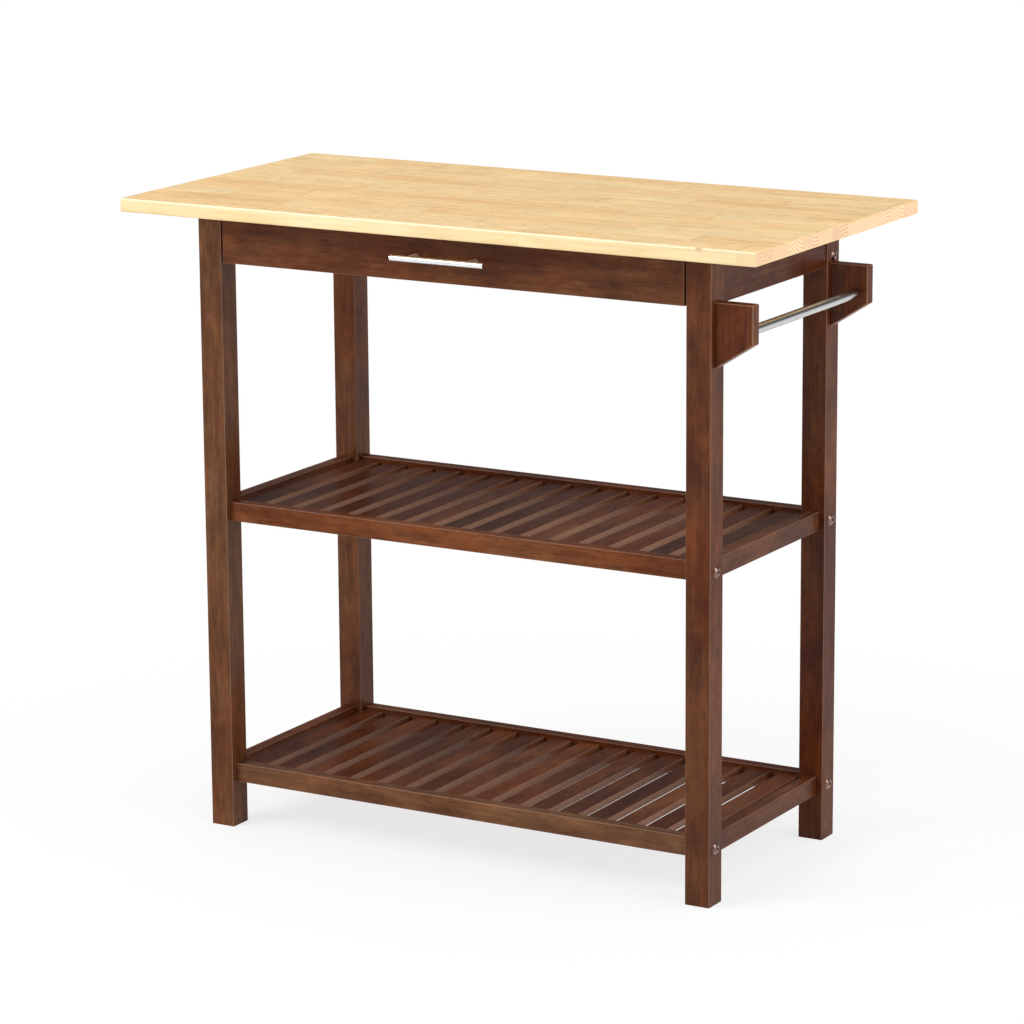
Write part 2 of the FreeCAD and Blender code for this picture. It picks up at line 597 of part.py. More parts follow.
# Towel brackets and bar
def bracket(end):
    """Board that narrows outwards, drawn in its own front view and padded to its thickness."""
    label = f"towel_bracket_{ENDS[end]}"
    body = doc.addObject("PartDesign::Body", label + "_body")
    view = body.newObject("Sketcher::SketchObject", label + "_view")
    plane = [f for f in body.Origin.OriginFeatures if f.Role == "XZ_Plane"][0]
    view.AttachmentSupport = [(plane, "")]
    view.MapMode = "FlatFace"
    reach, root, tip = size("bracket_reach"), size("bracket_root_height"), size("bracket_end_height")
    corners = [FreeCAD.Vector(0, 0, 0), FreeCAD.Vector(reach, 0, 0),
               FreeCAD.Vector(reach, -tip, 0), FreeCAD.Vector(0, -root, 0)]
    for i in range(4):
        view.addGeometry(Part.LineSegment(corners[i], corners[(i + 1) % 4]), False)
    for i in range(4):
        view.addConstraint(Sketcher.Constraint("Coincident", i, 2, (i + 1) % 4, 1))
    view.addConstraint(Sketcher.Constraint("Coincident", 0, 1, -1, 1))
    view.addConstraint(Sketcher.Constraint("Horizontal", 0))
    view.addConstraint(Sketcher.Constraint("Vertical", 1))
    view.addConstraint(Sketcher.Constraint("Vertical", 3))
    for line, alias in ((0, "bracket_reach"), (1, "bracket_end_height"), (3, "bracket_root_height")):
        index = view.addConstraint(Sketcher.Constraint("Distance", line, size(alias)))
        view.setExpression(f"Constraints[{index}]", formula(alias))
    pad = body.newObject("PartDesign::Pad", label + "_pad")
    pad.Profile = view
    pad.Midplane = True
    pad.setExpression("Length", formula("bracket_thickness"))
    body.Tip = pad
    place(body, LEG_OUTER_X, signed(end, LEG_CENTRE_Y), BRACKET_TOP)
    doc.recompute()
    shaped = eased(label + "_eased", body, "bracket_round", away_from_leg)
    holes = [rod(label + "_bar_hole", "towel_bar_diameter / 2 + towel_bar_fit", "towel_bar_seat + overrun",
                 outward("Y", end), TOWEL_BAR_X,
                 signed(end, f"{LEG_CENTRE_Y} - bracket_thickness / 2 - overrun"), TOWEL_BAR_Z)]
    holes += [screw_hole("bracket_screw", f"{label}_{name}_hole", "+X", x, y, height)
              for name, x, e, y, height in bracket_screw_places() if e == end]
    piece(label, cut(label, shaped, holes))


def away_from_leg(edge):
    """The arrises of a bracket that don't touch the leg."""
    leg_face = size("worktop_length") / 2 - size("end_overhang")
    return edge.BoundBox.XMax > leg_face + size("bracket_round")


for bracket_end in ENDS:
    bracket(bracket_end)
bar_half = f"({LEG_CENTRE_Y} - bracket_thickness / 2 + towel_bar_seat)"
piece("towel_bar", rod("towel_bar", "towel_bar_diameter / 2", f"2 * {bar_half}", "+Y",
                       TOWEL_BAR_X, f"-{bar_half}", TOWEL_BAR_Z))
piece("towel_bracket_screws", group("towel_bracket_screws", [
    screw("bracket_screw", name, "+X", x, y, height) for name, x, e, y, height in bracket_screw_places()]))


# Slides
def slide_screw_rows():
    """Places of the screws along a slide, front, middle and rear."""
    yield "front", f"({SLIDE_FRONT} + slide_screw_inset)"
    yield "centre", f"(({SLIDE_FRONT} + {SLIDE_REAR}) / 2)"
    yield "rear", f"({SLIDE_REAR} - slide_screw_inset)"


OUTER_HALF = "(slide_height / 2)"
MIDDLE_HALF = f"({OUTER_HALF} - slide_sheet - slide_run_gap)"
INNER_HALF = f"({MIDDLE_HALF} - slide_sheet - slide_run_gap)"
OUTER_WEB = f"({LEG_INNER_X} - slide_sheet)"
INNER_WEB = f"({BOX_OUTER_X} + slide_sheet)"


def channel(label, side, near, far, half, web, cutters):
    """A folded channel: near and far faces, half its height, and the place of its web."""
    length = (SLIDE_FRONT, SLIDE_REAR)
    height = (f"{SLIDE_CENTRE_Z} - {half}", f"{SLIDE_CENTRE_Z} + {half}")
    body = block(label + "_body", span(side, near, far), length, height)
    room = block(label + "_room", span(side, web[0], web[1]),
                 (f"{length[0]} - overrun", f"{length[1]} + overrun"),
                 (f"{height[0]} + slide_sheet", f"{height[1]} - slide_sheet"))
    piece(label, cut(label, body, [room] + cutters))


def slide(side):
    name = SIDES[side]
    out_holes = [screw_hole("wood_screw", f"slide_outer_{name}_hole_{row}", outward("X", side),
                            signed(side, OUTER_WEB), y, SLIDE_CENTRE_Z) for row, y in slide_screw_rows()]
    in_holes = [screw_hole("slide_screw", f"slide_inner_{name}_hole_{row}", outward("X", -side),
                           signed(side, INNER_WEB), y, SLIDE_CENTRE_Z) for row, y in slide_screw_rows()]
    channel(f"slide_outer_{name}", side, f"{LEG_INNER_X} - outer_flange", LEG_INNER_X, OUTER_HALF,
            (f"{LEG_INNER_X} - outer_flange - overrun", OUTER_WEB), out_holes)
    middle_back = f"({LEG_INNER_X} - middle_offset)"
    channel(f"slide_middle_{name}", side, f"{middle_back} - middle_flange", middle_back, MIDDLE_HALF,
            (f"{middle_back} - middle_flange - overrun", f"{middle_back} - slide_sheet"), [])
    channel(f"slide_inner_{name}", side, BOX_OUTER_X, f"{BOX_OUTER_X} + inner_flange", INNER_HALF,
            (INNER_WEB, f"{BOX_OUTER_X} + inner_flange + overrun"), in_holes)
    packer = block(f"slide_packer_{name}_blank", span(side, LEG_INNER_X, APRON_INNER_X),
                   (f"-{LEG_INNER_Y}", LEG_INNER_Y),
                   (f"{SLIDE_CENTRE_Z} - {OUTER_HALF}", f"{SLIDE_CENTRE_Z} + {OUTER_HALF}"))
    piece(f"slide_packer_{name}", cut(f"slide_packer_{name}", packer, out_holes))
    return in_holes


side_screw_holes = {slide_side: slide(slide_side) for slide_side in SIDES}
piece("slide_frame_screws", group("slide_frame_screws", [
    screw("wood_screw", f"slide_frame_screw_{SIDES[s]}_{row}", outward("X", s), signed(s, OUTER_WEB),
          y, SLIDE_CENTRE_Z) for s in SIDES for row, y in slide_screw_rows()]))
piece("slide_drawer_screws", group("slide_drawer_screws", [
    screw("slide_screw", f"slide_drawer_screw_{SIDES[s]}_{row}", outward("X", -s), signed(s, INNER_WEB),
          y, SLIDE_CENTRE_Z) for s in SIDES for row, y in slide_screw_rows()]))


# Drawer
def drawer_dowel_places():
    for side, name in SIDES.items():
        for i in range(2):
            height = f"({BOX_BOTTOM} + drawer_dowel_inset + {i} * drawer_dowel_spacing)"
            yield f"{name}_{i + 1}", side, height


def drawer_dowel(name, side, height, fit="0"):
    return rod(name, f"drawer_dowel_diameter / 2 + {fit}", f"drawer_dowel_length + 2 * {fit}", "+Y",
               signed(side, f"{BOX_OUTER_X} - box_board / 2"),
               f"{FRONT_BACK} - drawer_dowel_length / 2 - {fit}", height)


def back_screw_places():
    """Screws through a drawer side into the end of the drawer back."""
    for side, name in SIDES.items():
        for i in range(2):
            height = f"({BOX_BOTTOM} + drawer_dowel_inset + {i} * drawer_dowel_spacing)"
            yield (f"{name}_{i + 1}", side, signed(side, f"{BOX_OUTER_X} - back_screw_head_height"),
                   f"({BOX_REAR} - box_board / 2)", height)


def handle_places():
    for side, name in SIDES.items():
        yield name, signed(side, "handle_hole_spacing / 2")


PANEL_BOTTOM = f"({BOX_BOTTOM} + panel_rise)"
PANEL_TOP = f"({PANEL_BOTTOM} + panel_thickness)"


def drawer_front():
    half = f"({LEG_INNER_X} - drawer_side_gap)"
    blank = block("drawer_front_blank", (f"-{half}", half), (f"-{LEG_OUTER_Y}", FRONT_BACK),
                  (FRONT_BOTTOM, f"{FRONT_BOTTOM} + drawer_front_height"))
    shaped = eased("drawer_front_eased", blank, "drawer_front_round", on_front_face)
    groove = block("drawer_front_groove", (f"-{BOX_INNER_X} - groove_depth", f"{BOX_INNER_X} + groove_depth"),
                   (f"{FRONT_BACK} - groove_depth", f"{FRONT_BACK} + overrun"), (PANEL_BOTTOM, PANEL_TOP))
    holes = [drawer_dowel(f"drawer_front_hole_{name}", side, height, "hole_fit")
             for name, side, height in drawer_dowel_places()]
    holes += [screw_hole("handle_screw", f"drawer_front_handle_hole_{name}", "-Y", x, FRONT_BACK, HANDLE_Z)
              for name, x in handle_places()]
    piece("drawer_front", cut("drawer_front", shaped, [groove] + holes))


def on_front_face(edge):
    """The arrises of the drawer front's outer face."""
    front_face = size("front_overhang") - size("worktop_depth") / 2
    return edge.BoundBox.YMax < front_face + size("drawer_front_round") / 2


def drawer_side(side):
    label = f"drawer_side_{SIDES[side]}"
    board = block(label + "_board", span(side, BOX_INNER_X, BOX_OUTER_X), (FRONT_BACK, BOX_REAR),
                  (BOX_BOTTOM, f"{BOX_BOTTOM} + box_height"))
    groove = block(label + "_groove", span(side, f"{BOX_INNER_X} - overrun", f"{BOX_INNER_X} + groove_depth"),
                   (f"{FRONT_BACK} - overrun", f"{BOX_REAR} + overrun"), (PANEL_BOTTOM, PANEL_TOP))
    holes = [drawer_dowel(f"{label}_hole_{name}", s, height, "hole_fit")
             for name, s, height in drawer_dowel_places() if s == side]
    for name, s, x, y, height in back_screw_places():
        if s == side:
            inward = outward("X", -s)
            holes.append(screw_hole("back_screw", f"{label}_back_hole_{name}", inward, x, y, height))
            holes.append(head_hole("back_screw", f"{label}_back_sink_{name}", inward, x, y, height))
    piece(label, cut(label, board, [groove] + holes + side_screw_holes[side]))


def drawer_back():
    board = block("drawer_back_board", (f"-{BOX_INNER_X}", BOX_INNER_X),
                  (f"{BOX_REAR} - box_board", BOX_REAR), (PANEL_TOP, f"{BOX_BOTTOM} + box_height"))
    holes = [screw_hole("back_screw", f"drawer_back_hole_{name}", outward("X", -s), x, y, height)
             for name, s, x, y, height in back_screw_places()]
    piece("drawer_back", cut("drawer_back", board, holes))


drawer_front()
for drawer_side_of in SIDES:
    drawer_side(drawer_side_of)
drawer_back()
panel_reach = f"({BOX_INNER_X} + groove_depth - panel_fit)"
panel_front = f"({FRONT_BACK} - groove_depth + panel_fit)"
piece("drawer_bottom", block("drawer_bottom", (f"-{panel_reach}", panel_reach),
                             (panel_front, BOX_REAR), (PANEL_BOTTOM, PANEL_TOP)))
piece("drawer_dowels", group("drawer_dowels", [
    drawer_dowel("drawer_dowel_" + name, side, height) for name, side, height in drawer_dowel_places()]))
piece("drawer_back_screws", group("drawer_back_screws", [
    screw("back_screw", "drawer_back_screw_" + name, outward("X", -s), x, y, height)
    for name, s, x, y, height in back_screw_places()]))


# Handle
def handle_bar(name):
    return rod(name, "handle_diameter / 2", "handle_length", "+X", "-handle_length / 2", HANDLE_Y, HANDLE_Z)


def handle_post(name, x):
    """Post from the drawer front to the bar, hollowed to the bar's round at its end."""
    reach = "handle_projection - handle_diameter / 2"
    post = rod(f"handle_post_{name}_rod", "post_diameter / 2", reach, "-Y", x, f"-{LEG_OUTER_Y}", HANDLE_Z)
    seat = handle_bar(f"handle_post_{name}_seat")
    thread = screw_hole("handle_screw", f"handle_post_{name}_thread", "-Y", x, FRONT_BACK, HANDLE_Z)
    piece(f"handle_post_{name}", cut(f"handle_post_{name}", post, [seat, thread]))


piece("handle_bar", handle_bar("handle_bar"))
for handle_name, handle_x in handle_places():
    handle_post(handle_name, handle_x)
piece("handle_screws", group("handle_screws", [
    screw("handle_screw", "handle_screw_" + name, "-Y", x, FRONT_BACK, HANDLE_Z)
    for name, x in handle_places()]))

doc.recompute()
for thing in doc.Objects:
    if "Invalid" in thing.State or "Error" in thing.State:
        raise RuntimeError(f"{thing.Label} failed: {thing.State}")
for thing in pieces:
    if thing.Shape.isNull() or not thing.Shape.isValid() or not thing.Shape.Solids:
        raise RuntimeError(f"{thing.Label} has no valid solid")

os.makedirs("parts", exist_ok=True)
for thing in pieces:
    thing.Shape.exportStep(f"parts/{thing.Label}.step")
print(len(pieces), "pieces written")
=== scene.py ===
"""Looks of the kitchen island: stained and lacquered rubberwood, a honey butcher-block top,
chrome, polished steel, bronzed bolts and zinc-plated slides, in a plain white studio.

Metres. The finish of each piece follows its own grain direction and carries its own seed.
"""
import math

import bpy
from mathutils import Matrix, Vector


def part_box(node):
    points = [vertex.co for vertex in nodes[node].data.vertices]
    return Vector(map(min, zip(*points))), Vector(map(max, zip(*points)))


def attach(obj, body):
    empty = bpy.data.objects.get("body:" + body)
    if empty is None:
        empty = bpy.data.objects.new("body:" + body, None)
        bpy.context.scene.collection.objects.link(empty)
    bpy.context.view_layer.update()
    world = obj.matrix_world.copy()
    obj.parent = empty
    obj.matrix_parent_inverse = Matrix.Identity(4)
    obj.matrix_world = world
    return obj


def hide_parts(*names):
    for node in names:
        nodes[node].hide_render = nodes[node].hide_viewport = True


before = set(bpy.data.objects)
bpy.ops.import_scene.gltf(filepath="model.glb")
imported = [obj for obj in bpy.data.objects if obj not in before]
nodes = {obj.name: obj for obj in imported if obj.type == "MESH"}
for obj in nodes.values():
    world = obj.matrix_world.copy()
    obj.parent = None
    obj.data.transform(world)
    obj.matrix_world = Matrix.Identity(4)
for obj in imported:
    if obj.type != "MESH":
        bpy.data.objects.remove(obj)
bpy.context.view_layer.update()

# Sockets of the Mix node when it blends colours: three inputs and an output
MIX_SHARE, MIX_FIRST, MIX_SECOND, MIX_RESULT = 0, 6, 7, 2


class Graph:
    """Adds nodes to one tree and joins them; every input takes a plain value or an output."""

    def __init__(self, tree):
        self.tree = tree

    def feed(self, socket, value):
        if isinstance(value, bpy.types.NodeSocket):
            self.tree.links.new(value, socket)
        else:
            socket.default_value = value

    def add(self, kind, inputs=None, **settings):
        node = self.tree.nodes.new(kind)
        for name, value in settings.items():
            setattr(node, name, value)
        for name, value in (inputs or {}).items():
            self.feed(node.inputs[name], value)
        return node

    def math(self, operation, *values, clamp=False):
        inputs = dict(enumerate(values))
        return self.add("ShaderNodeMath", inputs, operation=operation, use_clamp=clamp).outputs[0]

    def vector(self, operation, *values):
        node = self.add("ShaderNodeVectorMath", dict(enumerate(values)), operation=operation)
        return node.outputs["Value" if operation == "LENGTH" else "Vector"]

    def axes(self, vector):
        """X, Y and Z of a vector, by name."""
        return self.add("ShaderNodeSeparateXYZ", {"Vector": vector}).outputs

    def place(self):
        """The point's coordinates on its object."""
        return self.add("ShaderNodeTexCoord").outputs["Object"]

    def facing(self):
        """The direction that the face itself points in, without smoothing or bump."""
        return self.add("ShaderNodeNewGeometry").outputs["True Normal"]

    def between(self, value, low, high, to_low=0.0, to_high=1.0):
        """The range from low to high brought to another one, and held at its ends."""
        inputs = {"Value": value, "From Min": low, "From Max": high, "To Min": to_low, "To Max": to_high}
        return self.add("ShaderNodeMapRange", inputs, clamp=True).outputs["Result"]

    def varied(self, noise, low, high):
        """Noise, of which nearly all lies from 0.3 to 0.7, brought to another range."""
        return self.between(noise, 0.3, 0.7, low, high)

    def noise(self, place, scale, detail=2.0, seed=0.0, roughness=0.5, distortion=0.0):
        inputs = {"Vector": place, "Scale": scale, "Detail": detail, "W": seed,
                  "Roughness": roughness, "Distortion": distortion}
        return self.add("ShaderNodeTexNoise", inputs, noise_dimensions="4D").outputs["Fac"]

    def grain(self, place, along, seed, **form):
        """Noise drawn out along X, where the wood's grain runs; a small share draws it out far."""
        return self.noise(self.spread(place, along), seed=seed, **form)

    def ramp(self, value, stops, interpolation="LINEAR"):
        """Colour between (place, colour) stops."""
        node = self.add("ShaderNodeValToRGB", {"Fac": value})
        node.color_ramp.interpolation = interpolation
        elements = node.color_ramp.elements
        while len(elements) < len(stops):
            elements.new(0.5)
        for element, (at, colour) in zip(elements, stops):
            element.position = at
            element.color = colour
        return node.outputs["Color"]

    def blend(self, share, first, second, kind="MIX"):
        inputs = {MIX_SHARE: share, MIX_FIRST: first, MIX_SECOND: second}
        return self.add("ShaderNodeMix", inputs, data_type="RGBA", blend_type=kind).outputs[MIX_RESULT]

    def scaled(self, colour, factor):
        """The colour made lighter or darker by a factor."""
        grey = self.add("ShaderNodeCombineColor", {"Red": factor, "Green": factor, "Blue": factor})
        return self.blend(1.0, colour, grey.outputs[0], "MULTIPLY")

    def spread(self, place, x=1.0, y=1.0, z=1.0):
        """Coordinates times a share per axis; a small one draws patterns out along that axis."""
        return self.vector("MULTIPLY", place, (x, y, z))


def srgb(red, green, blue):
    """A display colour, 0 to 255, as the shader's linear colour."""
    def linear(value):
        value /= 255
        return value / 12.92 if value <= 0.04045 else ((value + 0.055) / 1.055) ** 2.4
    return (linear(red), linear(green), linear(blue), 1.0)


def new_group(name, inputs, outputs):
    """A node group with its sockets; returns the group, its graph, its inputs and its end."""
    group = bpy.data.node_groups.new(name, "ShaderNodeTree")
    for socket, kind in inputs:
        group.interface.new_socket(name=socket, in_out="INPUT", socket_type=kind)
    for socket, kind in outputs:
        group.interface.new_socket(name=socket, in_out="OUTPUT", socket_type=kind)
    graph = Graph(group)
    return group, graph, graph.add("NodeGroupInput").outputs, graph.add("NodeGroupOutput").inputs


def empty_material(name):
    material = bpy.data.materials.new(name)
    material.use_nodes = True
    material.node_tree.nodes.clear()
    return material, Graph(material.node_tree)


def new_material(name):
    material, graph = empty_material(name)
    shader = graph.add("ShaderNodeBsdfPrincipled")
    graph.add("ShaderNodeOutputMaterial", {"Surface": shader.outputs[0]})
    return material, graph, shader


def bump(graph, shader, height, distance):
    node = graph.add("ShaderNodeBump", {"Distance": distance, "Height": height})
    graph.feed(shader.inputs["Normal"], node.outputs[0])


VECTOR, FLOAT, COLOUR = "NodeSocketVector", "NodeSocketFloat", "NodeSocketColor"

# Quarter turns that lay a piece's grain along X
GRAIN_TURN = {"X": (0, 0, 0), "Y": (0, 0, -math.pi / 2), "Z": (0, math.pi / 2, 0)}

# Tones from dark to light at which the stain has the colours below
STAIN_TONES = (0.15, 0.42, 0.62, 0.90)
RED_STAIN = ((51, 20, 10), (77, 35, 16), (97, 49, 22), (125, 69, 34))
BROWN_STAIN = ((48, 29, 19), (74, 46, 30), (94, 62, 40), (121, 84, 56))
STAINED_PORE = srgb(38, 22, 16)
STAINED_JOINT = srgb(44, 24, 16)
# Pale colour on the rounded arrises: thinner stain together with a painted highlight
WORN_STAIN_AND_HIGHLIGHT = srgb(180, 146, 126)
# Painted light on the slats' side faces
PAINTED_LIGHT_SIDE = srgb(160, 120, 96)
# How far apart the seeds lie of neighbouring boards in a piece and of the listed pieces
BOARD_SEED_STEP, PIECE_SEED_STEP, FIRST_SEED = 3.7, 2.3, 1.0
# Half the width of the darkest part of the line at a glued joint
JOINT_CORE = 0.0003
# Largest part of a face's direction along one axis, on a flat face and on a rounded arris
FLAT, ROUNDED = 0.97, 0.80


def worn_and_highlit_arris(g):
    """One on the rounded arrises of a board, where the stain is thin and a highlight is painted, and zero
    on its flat faces.
    """
    axes = g.axes(g.vector("ABSOLUTE", g.facing()))
    largest = g.math("MAXIMUM", g.math("MAXIMUM", axes["X"], axes["Y"]), axes["Z"])
    return g.between(largest, FLAT, ROUNDED)


def stained_wood_group():
    """Dark stain over rubberwood: broad patches, streaks along the grain, fibres and pores, and paler
    arrises of thin stain and painted highlight.
    """
    group, g, start, end = new_group(
        "stained_wood", [("Place", VECTOR), ("Seed", FLOAT), ("Tone", FLOAT), ("Brown share", FLOAT)],
        [("Colour", COLOUR), ("Roughness", FLOAT), ("Height", FLOAT)])
    place, seed = start["Place"], start["Seed"]
    patches = g.grain(place, 0.45, seed, scale=13, detail=3, roughness=0.6, distortion=0.7)
    mottle = g.grain(place, 0.5, seed, scale=75, detail=3, roughness=0.6, distortion=0.5)
    streaks = g.grain(place, 0.06, seed, scale=110, detail=4, roughness=0.62, distortion=0.25)
    fibres = g.grain(place, 0.02, seed, scale=620, detail=3, roughness=0.6)
    figure = g.grain(place, 0.12, seed, scale=34, detail=3, distortion=1.6)
    pores = g.between(g.grain(place, 0.07, seed, scale=520), 0.60, 0.68)
    hue = g.grain(place, 0.4, g.math("ADD", seed, 31.0), scale=9, distortion=0.8)

    tone = start["Tone"]
    for pattern, share in ((patches, 0.85), (figure, 0.4), (mottle, 0.45)):
        tone = g.math("MULTIPLY_ADD", g.math("SUBTRACT", pattern, 0.5), share, tone)
    red, brown = (g.ramp(tone, [(at, srgb(*colour)) for at, colour in zip(STAIN_TONES, stain)])
                  for stain in (RED_STAIN, BROWN_STAIN))
    brown_share = g.math("ADD", g.between(hue, 0.35, 0.65, -0.3, 0.3), start["Brown share"], clamp=True)
    colour = g.blend(brown_share, red, brown)
    colour = g.scaled(colour, g.varied(streaks, 0.79, 1.20))
    colour = g.scaled(colour, g.varied(fibres, 0.82, 1.16))
    colour = g.blend(g.math("MULTIPLY", pores, 0.5), colour, STAINED_PORE)
    # The arrises are made paler: thinner stain and a painted highlight
    g.feed(end["Colour"], g.blend(g.math("MULTIPLY", worn_and_highlit_arris(g), 0.4), colour, WORN_STAIN_AND_HIGHLIGHT))

    rough = g.varied(g.noise(place, scale=22, detail=3, seed=seed), 0.30, 0.40)
    g.feed(end["Roughness"], g.math("ADD", rough, g.math("MULTIPLY", pores, 0.12)))
    g.feed(end["Height"], g.math("SUBTRACT", g.math("MULTIPLY", fibres, 0.5), pores))
    return group


STAINED_WOOD = stained_wood_group()


def turned_place(g, grain):
    """Object coordinates turned so that the grain runs along X."""
    turn = g.add("ShaderNodeMapping", {"Vector": g.place(), "Rotation": GRAIN_TURN[grain]})
    return turn.outputs[0]


def stained_wood(g, grain, seed, tone, brown_share):
    """Colour, roughness and height of stained wood, by name."""
    inputs = {"Place": turned_place(g, grain), "Seed": seed, "Tone": tone, "Brown share": brown_share}
    return g.add("ShaderNodeGroup", inputs, node_tree=STAINED_WOOD).outputs


def numbered_wood(g, grain, number, seed, darkest, lightest, brown_share):
    """Stained wood in which each board, told by its number, has its own seed and tone."""
    chance = g.add("ShaderNodeTexWhiteNoise", {"W": g.math("ADD", number, seed)}, noise_dimensions="1D")
    tone = g.between(chance.outputs["Value"], 0, 1, darkest, lightest)
    own_seed = g.math("ADD", g.math("MULTIPLY", number, BOARD_SEED_STEP), seed)
    return stained_wood(g, grain, own_seed, tone, brown_share)


def finish_lacquer(g, shader, wood, colour):
    """Thin lacquer with little gloss over stained wood that has the colour given."""
    g.feed(shader.inputs["Base Color"], colour)
    g.feed(shader.inputs["Roughness"], wood["Roughness"])
    shader.inputs["Specular IOR Level"].default_value = 0.06
    shader.inputs["Coat Weight"].default_value = 0.12
    shader.inputs["Coat Roughness"].default_value = 0.2
    bump(g, shader, wood["Height"], distance=0.00012)


def joint_line(g, boards, width, half_line, share):
    """A thin line where boards meet; boards is a place along the row, counted in boards."""
    distance = g.math("MULTIPLY", g.math("PINGPONG", boards, 0.5), width)
    return g.between(distance, JOINT_CORE, half_line, share, 0.0)


def stained(name, grain, seed, tone, brown_share):
    """The finish of a piece that is one board."""
    material, g, shader = new_material(name)
    wood = stained_wood(g, grain, seed, tone, brown_share)
    finish_lacquer(g, shader, wood, wood["Colour"])
    return material


BRACKET_STRIP = 0.0232


def stained_bracket(name, seed, darkest, lightest, brown_share):
    """Bracket glued up from upright strips with a thin dark line between them."""
    material, g, shader = new_material(name)
    from_leg = g.math("SUBTRACT", g.axes(g.place())["X"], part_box(name)[0].x)
    strips = g.math("DIVIDE", from_leg, BRACKET_STRIP)
    wood = numbered_wood(g, "Z", g.math("FLOOR", strips), seed, darkest, lightest, brown_share)
    line = joint_line(g, strips, BRACKET_STRIP, half_line=0.0009, share=0.35)
    finish_lacquer(g, shader, wood, g.blend(line, wood["Colour"], STAINED_JOINT))
    return material


SLAT_COUNT, SLAT_WIDTH, SLATTED_LENGTH = 16, 0.032, 0.74295
SLAT_PITCH = (SLATTED_LENGTH - SLAT_WIDTH) / (SLAT_COUNT - 1)
FIRST_SLAT_MIDDLE = (SLAT_WIDTH - SLATTED_LENGTH) / 2
# Along the slats, the painted light on the side faces fades from the first of these places to the second
FADE_START, FADE_END = -0.16, 0.14


def stained_slats(name, seed, darkest, lightest, brown_share):
    """Stained slats, told apart by their place along the shelf, with painted light on their side faces
    that fades towards the rear.
    """
    material, g, shader = new_material(name)
    axes = g.axes(g.place())
    slats = g.math("DIVIDE", g.math("SUBTRACT", axes["X"], FIRST_SLAT_MIDDLE), SLAT_PITCH)
    wood = numbered_wood(g, "Y", g.math("ROUND", slats), seed, darkest, lightest, brown_share)
    # Painted light on the slats' side faces, strongest at the front and fading towards the rear
    on_side = g.between(g.math("ABSOLUTE", g.axes(g.facing())["X"]), 0.6, 0.95)
    pale = g.math("MULTIPLY", on_side, g.between(axes["Y"], FADE_START, FADE_END, 0.75, 0.18))
    finish_lacquer(g, shader, wood, g.blend(pale, wood["Colour"], PAINTED_LIGHT_SIDE))
    return material


# Where one butt joint of each stave lies along the top, front stave first, in shares of a block
JOINT_SHIFTS = (0.55, 0.83, 0.18, 0.89, 0.42, 0.03, 0.66, 0.29, 0.92, 0.48, 0.12)
STAVE_COUNT = len(JOINT_SHIFTS)
WORKTOP_DEPTH = 0.508
STAVE_WIDTH = WORKTOP_DEPTH / STAVE_COUNT
BLOCK_LENGTH = 0.33
RING_SPACING = 0.0052
# The painted highlight on the upper arris rises between these heights
ARRIS_START, ARRIS_END = 0.9302, 0.9328
# The one small knot, on the front arris near the right end
KNOT_PLACE = (0.423, -0.2535, 0.932)
TOP_GLUE = srgb(150, 100, 56)


def stave_layout(g, axes):
    """The stave's number, and the place counted in staves from the front and in blocks."""
    staves = g.math("DIVIDE", g.math("ADD", axes["Y"], WORKTOP_DEPTH / 2), STAVE_WIDTH)
    row = g.math("MINIMUM", g.math("MAXIMUM", g.math("FLOOR", staves), 0.0), STAVE_COUNT - 1)
    stops = [(number / STAVE_COUNT, (shift, shift, shift, 1)) for number, shift in enumerate(JOINT_SHIFTS)]
    shift = g.ramp(g.math("DIVIDE", g.math("ADD", row, 0.5), STAVE_COUNT), stops, "CONSTANT")
    blocks = g.math("ADD", g.math("DIVIDE", axes["X"], BLOCK_LENGTH), shift)
    return row, staves, blocks


def long_grain(g, place, own, figure, streaks, fibres, flecks):
    """Colour of the blocks' faces: streaks, growth lines, flecks and a few broad stains."""
    tone = g.math("ADD", g.math("MULTIPLY", own, 0.36), g.math("MULTIPLY", figure, 0.78))
    colour = g.ramp(tone, [(0.20, srgb(241, 193, 129)), (0.45, srgb(253, 213, 152)),
                           (0.70, srgb(255, 222, 165)), (0.90, srgb(255, 228, 176))])
    colour = g.scaled(colour, g.varied(streaks, 0.84, 1.12))
    colour = g.scaled(colour, g.varied(fibres, 0.92, 1.07))
    growth = g.math("PINGPONG", g.math("MULTIPLY", figure, 9.0), 0.5)
    colour = g.blend(g.between(growth, 0.0, 0.12, 0.46, 0.0), colour, srgb(204, 148, 86))
    colour = g.blend(g.math("MULTIPLY", flecks, 0.6), colour, srgb(186, 128, 72))
    broad = g.grain(place, 0.3, 3.0, scale=13, detail=4, roughness=0.65, distortion=1.0)
    stains = g.between(broad, 0.60, 0.74)
    return g.blend(g.math("MULTIPLY", stains, 0.6), colour, srgb(214, 164, 100))


